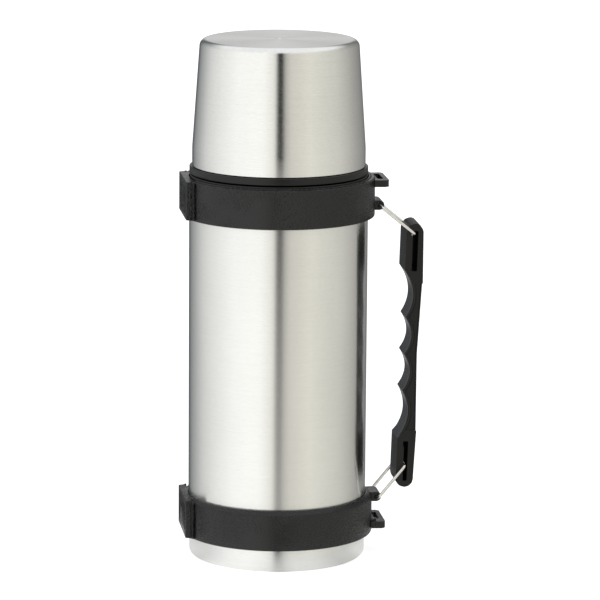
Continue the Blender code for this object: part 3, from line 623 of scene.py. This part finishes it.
# ---------------------------------------------------------------- cup liner, collar and stopper
def cup_lining():
    """Plastic liner: the ring round the cup's mouth, the thread and the seat of the gasket."""
    skin = 0.9
    ring_r = liner_high[0]
    ring_low = liner_low[2]
    ring_top = cup_low[2] - GAP
    bore = COLLAR_R + 1.6
    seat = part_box("cup_gasket")[1][2] / MM + 0.3
    top = cup_high[2] - skin
    side = cup_high[0] - skin
    narrow = cup_high[0] - CUP_TAPER * (top - CUP_STRAIGHT) / (top - 5.6 - CUP_STRAIGHT)
    outside = [(0, top, 0), (narrow - skin, top, 5), (side, CUP_STRAIGHT, 30), (side, ring_top, 0.1),
               (ring_r, ring_top, 0.5), (ring_r, ring_low, 0.4)]
    inside = [(ring_r - 1.6, ring_low, 0.3), (ring_r - 1.6, ring_low + 1.6, 0.3), (bore, ring_low + 2.4, 0.3),
              (bore, seat, 0.2), (bore - 1.9, seat, 0.3), (bore - 1.9, seat + 1.6, 0.3),
              (cup_radius(seat) - 2.5, seat + 3.2, 0.4), (narrow - 2.5, top - 1.6, 4), (0, top - 1.6, 0)]
    made = lathe("cup_lining", rounded(outside + inside, closed=False), ring_plastic, FINE_STEPS)
    keep(made, "cup", "cup_liner")
    start = THREAD_START_CUP + THREAD_LEAD / 6
    thread("cup_lining_thread", bore, -THREAD_DEPTH, start, ring_plastic, "cup")


def collar():
    """Threaded collar with a flange that covers the steel shoulder."""
    top = collar_high[2]
    flange = liner_low[2] - 2 * GAP
    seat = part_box("cup_gasket")[0][2] / MM - 0.3
    inner = NECK_R + GAP
    corners = [(body_r - GAP, flange, 0.7), (COLLAR_R, flange, 0.6), (COLLAR_R, seat, 0.8),
               (COLLAR_R - 4.8, seat, 1.0), (inner + 3.5, top - 6, 2), (inner + 2.5, top, 0.8),
               (inner, top, 0.3), (inner, NECK_LOW + 3.3, 0.5), (NECK_R + 3, NECK_LOW + 0.6, 1.0)]
    corners += [(r, z, 0) for r, z in arc((body_r - 6, SHOULDER_Z), 6.6, 90, 30, 8)]
    made = lathe("screw_collar", rounded(corners), ring_plastic)
    keep(made, "flask", "neck_collar")
    thread("screw_collar_thread", COLLAR_R, THREAD_DEPTH, THREAD_START_CUP, ring_plastic, "flask")


def stopper():
    """Head with pour ports and finger flutes, flange and threaded plug."""
    low = plug_low[2]
    top = plug_high[2]
    flange = top - 26.4
    head_r = 26
    plug_r = 22.4
    well_r = 14
    channel_r = 8
    stem_bore = 2.85
    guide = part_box("button_spring")[0][2] / MM - 2.3
    profile = rounded([(channel_r, low, 0.3), (10, low, 0.3), (10, flange - 2, 0.3),
                       (plug_r - 2, flange - 2, 0.3), (plug_r - 2, low, 0.3), (plug_r, low, 0.3),
                       (plug_r, flange, 0.6), (30, flange, 0.6), (30, flange + 2.8, 1.0),
                       (head_r, flange + 2.8, 0.5), (head_r, top, 1.6), (well_r, top, 0.6),
                       (well_r, guide + 2, 0.3), (stem_bore, guide + 2, 0.2), (stem_bore, guide, 0.2),
                       (channel_r, guide, 0.3)])
    made = lathe("stopper_head", profile, stopper_plastic, 120)
    cutters = [extruded("pour_port_form", [(-40, -4), (40, -4), (40, 4), (-40, 4)], flange + 3.4, flange + 7.2,
                        stopper_plastic, 0.5)]
    flutes = 12
    for i in range(flutes):
        angle = 2 * pi * (i + 0.5) / flutes
        outline = arc((27.2 * cos(angle), 27.2 * sin(angle)), 2.4, 0, 337.5, 15)
        cutters.append(extruded("flute_form", outline, flange + 9.6, top + 4, stopper_plastic))
    combine(made, "DIFFERENCE", *cutters)
    keep(crisp(made), "stopper", "stopper_body")
    thread("stopper_thread", plug_r, THREAD_DEPTH, THREAD_START_NECK, stopper_plastic, "stopper")


def button():
    """Pour button with a finger dish, a skirt and a boss that takes the valve's stem."""
    r = button_high[0]
    top = button_high[2]
    under = top - 2.6
    foot = button_low[2]
    skirt_r = r - 1.7
    boss_low = under - 7
    profile = rounded([(0, top - 0.5, 0), (8.5, top - 0.5, 0.6), (9.5, top, 0.6), (r, top, 1.1),
                       (r, foot, 0.3), (skirt_r, foot, 0.3), (skirt_r, under, 0.4), (4.6, under, 0.4),
                       (4.6, boss_low, 0.3), (2.8, boss_low, 0.3), (2.8, under - GAP, 0.2),
                       (0, under - GAP, 0)], closed=False)
    keep(lathe("press_button", profile, button_plastic, 96), "button", "push_button")


# ---------------------------------------------------------------- bands and clasps
def ring_sector(r):
    """Half the angle at -X that the clasp takes out of a band."""
    return degrees((CLASP_HALF_W - CLASP_LAP) / r)


def strap_band(name, low, tab_z, ear_z, upper):
    """Moulded band with a slotted strap tab, its gusset, and a round ear for the handle's wire."""
    high = low + BAND_H
    bead = BAND_BORE + 1.1
    if upper:
        section = [(BAND_BORE, low, 0.2), (band_r, low, 0.8), (band_r, high - 0.5, 1.3),
                   (bead + 0.5, high - 0.5, 0.3), (bead, high - 1.0, 0.2), (bead - 0.4, high, 0.3),
                   (BAND_BORE, high, 0.2)]
    else:
        section = [(BAND_BORE, low, 0.2), (band_r, low, 0.7), (band_r, high - 2.2, 1.6),
                   (BAND_BORE + 0.9, high, 0.6), (BAND_BORE, high, 0.2)]
    half = ring_sector(BAND_BORE)
    made = lathe(name, rounded(section, steps=4), band_plastic, 180, 180 + half, 360 - 2 * half)
    root = BAND_BORE + 1.8
    tab_outline = [(root, -14.25, 0), (TAB_REACH, -14.25, 2), (TAB_REACH, 14.25, 2), (root, 14.25, 0)]
    tab = extruded(name + "_tab", rounded(tab_outline, steps=6), tab_z - 1.95, tab_z + 1.95, band_plastic,
                   0.45)
    gusset_r = band_r + 1.6
    gusset_outline = [(root, -12.5, 0), (gusset_r, -11.5, 1), (gusset_r, 11.5, 1), (root, 12.5, 0)]
    gusset = extruded(name + "_gusset", rounded(gusset_outline), tab_z - 1.7, tab_z + (1.0 if upper else 3.1),
                      band_plastic, 0.6)
    ear_outline = [(root, ear_z + EAR_R), (root, ear_z - EAR_R)] + arc((EAR_X, ear_z), EAR_R, -90, 90, 16)
    ear = extruded(name + "_ear", ear_outline, -7.5, 7.5, band_plastic, 0.5, along="Y")
    combine(made, "UNION", tab, gusset, ear)
    slot_out = TAB_REACH - 2.6
    slot_in = slot_out - 3.3
    slot_outline = [(slot_in, -9, 0.9), (slot_out, -9, 0.9), (slot_out, 9, 0.9), (slot_in, 9, 0.9)]
    slot = extruded(name + "_slot", rounded(slot_outline), tab_z - 4, tab_z + 4, band_plastic)
    bore = extruded(name + "_bore", arc((EAR_X, ear_z), 1.3, 0, 348.75, 31), -20, 20, band_plastic, along="Y")
    combine(made, "DIFFERENCE", slot, bore)
    return crisp(made)


def side_angle(r):
    """Angle from -X at which a circle of radius r meets the clasp's side."""
    return degrees(atan2(CLASP_HALF_W, (r ** 2 - CLASP_HALF_W ** 2) ** 0.5))


def strap_clasp(name, low, node):
    """Flat block that closes a band, with a raised rim round its outer face."""
    lap_r = band_r + GAP
    lip_r = lap_r + 0.8
    bottom = low + CLASP_SHORT
    top = low + BAND_H - CLASP_SHORT
    inner_half = ring_sector(BAND_BORE) - degrees(GAP / BAND_BORE)
    lip_half = side_angle(lap_r) + 2.8
    root_half = side_angle(lip_r)
    outline = [(CLASP_X, CLASP_HALF_W - 0.5), (CLASP_X + 0.5, CLASP_HALF_W)]
    outline += arc((0, 0), lip_r, 180 - root_half, 180 - lip_half, 3)
    outline += arc((0, 0), lap_r, 180 - lip_half, 180 - inner_half, 6)
    outline += arc((0, 0), BAND_BORE, 180 - inner_half, 180 + inner_half, 24)
    outline += arc((0, 0), lap_r, 180 + inner_half, 180 + lip_half, 6)
    outline += arc((0, 0), lip_r, 180 + lip_half, 180 + root_half, 3)
    outline += [(CLASP_X + 0.5, -CLASP_HALF_W), (CLASP_X, -CLASP_HALF_W + 0.5)]
    made = extruded(name, outline, bottom, top, band_plastic, 0.35)
    rim = 3.2
    reach = 15.5
    panel_outline = [(-reach, bottom + rim, 1.5), (reach, bottom + rim, 1.5), (reach, top - rim, 1.5),
                     (-reach, top - rim, 1.5)]
    panel = extruded(name + "_panel", rounded(panel_outline), 0, 3, band_plastic)
    upright = Matrix(((0, 0, -1, 0), (1, 0, 0, 0), (0, 1, 0, 0), (0, 0, 0, 1)))
    panel.data.transform(Matrix.Translation(((CLASP_X + 0.45) * MM, 0, 0)) @ upright)
    combine(made, "DIFFERENCE", panel)
    keep(crisp(made), "flask", node)


def bands():
    lower = strap_band("lower_strap_band", lower_low[2], lower_low[2] + 4.05, LOWER_EAR_Z, False)
    keep(lower, "flask", "lower_band")
    upper = strap_band("upper_strap_band", upper_low[2], upper_high[2] - 3.65, UPPER_EAR_Z, True)
    keep(upper, "flask", "upper_band")
    strap_clasp("lower_strap_clasp", lower_low[2], "lower_clasp")
    strap_clasp("upper_strap_clasp", upper_low[2], "upper_clasp")


# ---------------------------------------------------------------- handle and its wires
def grip_point(n, s):
    """Place in (x, z) of a point n outward of the slots' line and s up it from the lower pin."""
    return (LOWER_PIN[0] + n * cos(LEAN) + s * sin(LEAN), LOWER_PIN[1] - n * sin(LEAN) + s * cos(LEAN))


def scallop(low, high, start_n, end_n, valley_n):
    """Finger hollow between two peaks: two parabolas that meet in the valley."""
    valley = low + (high - low) * (0.5 if start_n == end_n else (0.54 if start_n < end_n else 0.46))
    points = []
    for i in range(1, 2 * FINGER_STEPS):
        at = low + (high - low) * i / (2 * FINGER_STEPS)
        side, peak = (valley - low, start_n) if at < valley else (high - valley, end_n)
        points.append((valley_n - (valley_n - peak) * ((at - valley) / side) ** 2, at, 0))
    return points


def block_top(front, back, top):
    """Arched end of the upper block, from the outer side to the fingers' side."""
    return [(back, top - 4.4, 4.5), (1.6, top, 3.5), (front + 1.8, top - 1.9, 3), (front, top - 5.8, 3)]


def grip_outline(front_in, back_in):
    """Side view of the whole handle in (n, s), set in from the fingers' side and the outer side."""
    front = FRONT_N + front_in
    back = BACK_N - back_in
    bottom = GRIP_BOTTOM + back_in
    top = GRIP_TOP - back_in
    middle = (GRIP_LOW + GRIP_HIGH) / 2
    outer = [(back, bottom, 4.4), (back + CREST, LOWER_STEP, 4), (back - 0.3, middle, 60),
             (back + CREST, UPPER_STEP, 4)] + block_top(front, back, top)
    peaks = [(GRIP_LOW, front)]
    peaks += [(middle + i * FINGER_PITCH, PEAK_N + front_in) for i in (-1, 0, 1)]
    peaks += [(GRIP_HIGH, front)]
    rising = []
    for (low, low_n), (high, high_n) in zip(peaks, peaks[1:]):
        rising.append((low_n, low, 0.5))
        rising += scallop(low, high, low_n, high_n, VALLEY_N + front_in)
    rising.append((front, GRIP_HIGH, 0.5))
    return [grip_point(n, s) for n, s in rounded(outer + rising[::-1] + [(front, bottom, 5.4)], steps=6)]


def block_outline(upper):
    """Side view of an end block, a hair outside the grip's outline."""
    front = FRONT_N - BLOCK_OVER
    back = BACK_N + BLOCK_OVER
    if upper:
        corners = [(back + CREST, UPPER_STEP, 0.8)] + block_top(front, back, GRIP_TOP + BLOCK_OVER)
        corners += [(front, GRIP_HIGH + 0.2, 0.5), (VALLEY_N + 0.3, UPPER_STEP, 0.8)]
    else:
        bottom = GRIP_BOTTOM - BLOCK_OVER
        corners = [(front, bottom, 5.4), (back, bottom, 4.4), (back + CREST, LOWER_STEP, 0.8),
                   (VALLEY_N - 1.2, LOWER_STEP, 0.8), (front, GRIP_LOW - 0.4, 0.5)]
    return [grip_point(n, s) for n, s in rounded(corners, steps=6)]


def grip():
    """Finger grip with a rolled, polished inner side and a fine groove, between two slotted end blocks."""
    half = GRIP_HALF_W - 0.35
    groove = half - 0.6
    # (y, set-in of the fingers' side, set-in of the outer side) over the rolled edge and the groove
    side = []
    for k in range(7):
        angle = radians(15 * k)
        fall = 1 - cos(angle)
        side.append((half - 2.6 * (1 - sin(angle)), 1.5 * fall, 1.1 * fall))
    side += [(groove, 1.56, 1.25), (groove, 1.95, 1.3), (half - 0.05, 2.0, 1.35), (half, 2.08, 1.45)]
    rings = [(-y, grip_outline(front_in, back_in)) for y, front_in, back_in in side[::-1]]
    rings += [(y, grip_outline(front_in, back_in)) for y, front_in, back_in in side]
    made = lofted("finger_grip", rings, grip_plastic, GRIP_SMOOTH)
    made.data.materials.append(palm_plastic)
    made.data.materials.append(slot_shade_plastic)
    blocks = [extruded(name, block_outline(is_upper), -GRIP_HALF_W, GRIP_HALF_W, grip_plastic, 1.1, along="Y",
                       edge_steps=4)
              for name, is_upper in (("grip_upper_block", True), ("grip_lower_block", False))]
    combine(made, "UNION", *blocks)
    slots = []
    for low, bias, width in GRIP_SLOTS:
        high = low + SLOT_L + 0.4
        left = bias - width / 2
        corners = [(left, low, 0.4), (bias + width / 2, low, 0.4), (bias + width / 2, high, 0.4),
                   (left - 0.6, high, 0.4), (left - 0.6, high - 2.4, 0.4), (left, high - 3.6, 0.4)]
        slots.append(extruded("grip_slot_form", [grip_point(n, s) for n, s in rounded(corners)], -20, 20,
                              grip_plastic, along="Y"))
    combine(made, "DIFFERENCE", *slots)
    for face in made.data.polygons:
        x, z = face.center.x / MM - LOWER_PIN[0], face.center.z / MM - LOWER_PIN[1]
        up = x * sin(LEAN) + z * cos(LEAN)
        out = x * cos(LEAN) - z * sin(LEAN)
        inward = face.normal.z * sin(LEAN) - face.normal.x * cos(LEAN)
        # Polished plastic stops short of the groove, whose walls keep the darker grained plastic: painted
        # shade in the groove.
        if GRIP_LOW - 1 < up < GRIP_HIGH + 0.5 and inward > 0.1 and abs(face.center.y / MM) < groove - 0.02:
            face.material_index = 1
        # Faces on the walls of the wire slots take the near-black slot plastic: painted shade in the slots.
        in_slot = any(low - 0.1 < up < low + SLOT_L + 0.5 and abs(out - bias) < width / 2 + 0.7
                      for low, bias, width in GRIP_SLOTS)
        if in_slot and abs(face.normal.y) < 0.7:
            face.material_index = 2
    keep(crisp(made, GRIP_SMOOTH), "grip", "handle")


def wire_form(name, places, radius, closed):
    """Bright round wire through a row of places."""
    curve = bpy.data.curves.new(name, "CURVE")
    curve.dimensions = "3D"
    curve.bevel_depth = radius * MM
    curve.bevel_resolution = 5
    curve.use_fill_caps = not closed
    line = curve.splines.new("POLY")
    line.points.add(len(places) - 1)
    for point, place in zip(line.points, places):
        point.co = (*(Vector(place) * MM), 1)
    line.use_cyclic_u = closed
    curve.materials.append(wire_metal)
    path = bpy.data.objects.new(name + "_path", curve)
    bpy.context.collection.objects.link(path)
    graph = bpy.context.evaluated_depsgraph_get()
    mesh = bpy.data.meshes.new_from_object(path.evaluated_get(graph), depsgraph=graph)
    made = bpy.data.objects.new(name, mesh)
    bpy.context.collection.objects.link(made)
    bpy.data.objects.remove(path)
    return made


def wire_link(name, body, node, ear_z, length, down):
    """Bent loop of wire, through an ear of the flask and a slot of the handle."""
    leg = GRIP_HALF_W + 0.35 + WIRE_R
    bend = 2.6
    corners = rounded([(0, -leg, bend), (length, -leg, bend), (length, leg, bend), (0, leg, bend)], steps=8)
    turn = Matrix.Rotation(radians(down), 4, "Y")
    places = [turn @ Vector((x, y, 0)) + Vector((EAR_X, 0, ear_z)) for x, y in corners]
    keep(wire_form(name, places, WIRE_R, True), body, node)


def button_coil():
    """Spring under the pour button."""
    low, high = (corner[2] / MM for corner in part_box("button_spring"))
    coil_r = 8
    wire_r = 0.5
    turns = 5
    steps = 32 * turns
    places = []
    for i in range(steps + 1):
        angle = 2 * pi * turns * i / steps
        z = low + wire_r + (high - low - 2 * wire_r) * i / steps
        places.append((coil_r * cos(angle), coil_r * sin(angle), z))
    made = keep(wire_form("button_coil", places, wire_r, False), "stopper", "button_spring")
    travel = JOINTS["button_press"]["range_m"][1] / MM
    1 - travel / (high - low + 0.3)
    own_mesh(made)


# ---------------------------------------------------------------- hidden parts keep their shape
def refine_hidden_parts():
    finishes = {"jacket_floor": inner_steel, "getter": inner_steel, "inner_vessel": inner_steel,
                "radiation_foil": foil, "stopper_foam": foam, "stopper_base": stopper_plastic,
                "stopper_gasket": white_silicone, "cup_gasket": white_silicone,
                "valve_stem": button_plastic, "valve_seal": white_silicone}
    for node, finish in finishes.items():
        made = bpy.data.objects[node]
        for slot in made.material_slots:
            slot.material = finish


# ---------------------------------------------------------------- studio
def studio():
    """White room: the steel shows its panels, gaps and black screens as upright streaks."""
    world = bpy.data.worlds.new("studio")
    bpy.context.scene.world = world
    room = Nodes(world)
    view = room.node("ShaderNodeTexCoord").outputs["Generated"]

    def along(x, y):
        made = room.node("ShaderNodeVectorMath", {"operation": "DOT_PRODUCT"}, {0: view, 1: (x, y, 0)})
        return Wire(room, made.outputs["Value"])

    right = along(cos(VIEW_AZ), -sin(VIEW_AZ))
    toward = along(-sin(VIEW_AZ), -cos(VIEW_AZ))
    height = Wire(room, room.node("ShaderNodeSeparateXYZ", {}, {"Vector": view}).outputs[2])
    panels = room.round_room(right, toward, [(azimuth, screen(*colour)) for azimuth, colour in PANELS])
    gap = Wire(room, room.round_room(right, toward, GAP_STREAK))
    deep = room.node("ShaderNodeMapRange", {}, {"Value": height, "From Min": -0.32, "From Max": -0.1,
                                                "To Min": 0.38, "To Max": 1.0})
    streak = 1.0 - (1.0 - gap) * Wire(room, deep.outputs[0])
    walls = room.tint(1.0, panels, streak, "MULTIPLY")
    lit = room.tint(height.ease(0.45, 0.75), walls, CEILING)
    shown = room.node("ShaderNodeBackground", {}, {"Color": (1, 1, 1, 1), "Strength": 1.0})
    lighting = room.node("ShaderNodeBackground", {}, {"Color": lit, "Strength": STUDIO_POWER})
    camera_ray = room.node("ShaderNodeLightPath").outputs["Is Camera Ray"]
    both = room.node("ShaderNodeMixShader", {}, {0: camera_ray, 1: lighting.outputs[0], 2: shown.outputs[0]})
    room.node("ShaderNodeOutputWorld", {}, {"Surface": both.outputs[0]})


def floor():
    """Pale floor that only shows where the flask takes its light, and its glow in the steel base."""
    finish = Finish("studio floor", Roughness=0.9, **{"Emission Strength": 0.62})
    mottle = finish.noise(finish.vector(*finish.place()), 3.0, 3.0)
    finish.set(Base_Color=finish.tint(mottle, screen(236), screen(240)), Emission_Color=screen(255))
    grid = bmesh.new()
    bmesh.ops.create_grid(grid, x_segments=8, y_segments=8, size=FLOOR_R)
    made = finish_object("studio_floor", grid, finish.material)
    made.location.z = -0.0002
    made.visible_glossy = False
    glow = Finish("studio floor glow", Roughness=0.9, **{"Emission Strength": 0.78})
    x, y, _ = glow.place()
    right = x * cos(VIEW_AZ) - y * sin(VIEW_AZ)
    toward = x * -sin(VIEW_AZ) - y * cos(VIEW_AZ)
    glow.set(Base_Color=screen(150), Emission_Color=glow.round_room(right, toward, NEAR_GLOW))
    disc = bmesh.new()
    bmesh.ops.create_circle(disc, cap_ends=True, radius=NEAR_FLOOR_R, segments=96)
    mirror = finish_object("studio_floor_near", disc, glow.material)
    mirror.location.z = -0.0001
    mirror.visible_camera = False
    mirror.visible_diffuse = False
    mirror.visible_shadow = False


def camera():
    lens = bpy.data.cameras.new("view")
    lens.lens = 243.8
    lens.sensor_width = 36.0
    lens.shift_x = 0.0367
    lens.clip_start = 0.05
    lens.clip_end = 50
    made = bpy.data.objects.new("view", lens)
    made.location = (-VIEW_FAR * sin(VIEW_AZ), -VIEW_FAR * cos(VIEW_AZ), VIEW_UP)
    turn = Matrix.Rotation(-VIEW_AZ, 4, "Z") @ Matrix.Rotation(radians(90 - VIEW_DOWN), 4, "X")
    made.rotation_euler = (turn @ Matrix.Rotation(radians(VIEW_ROLL), 4, "Z")).to_euler()
    bpy.context.collection.objects.link(made)
    bpy.context.scene.camera = made
    bpy.context.scene.view_settings.view_transform = "Standard"


# ---------------------------------------------------------------- the scene
steel_body()
steel_base()
steel_cup()
cup_lining()
collar()
stopper()
button()
bands()
grip()
wire_link("upper_wire_loop", "upper_wire", "upper_link", UPPER_EAR_Z, *UPPER_LINK)
wire_link("lower_wire_loop", "lower_wire", "lower_link", LOWER_EAR_Z, *LOWER_LINK)
button_coil()
refine_hidden_parts()
studio()
floor()
camera()
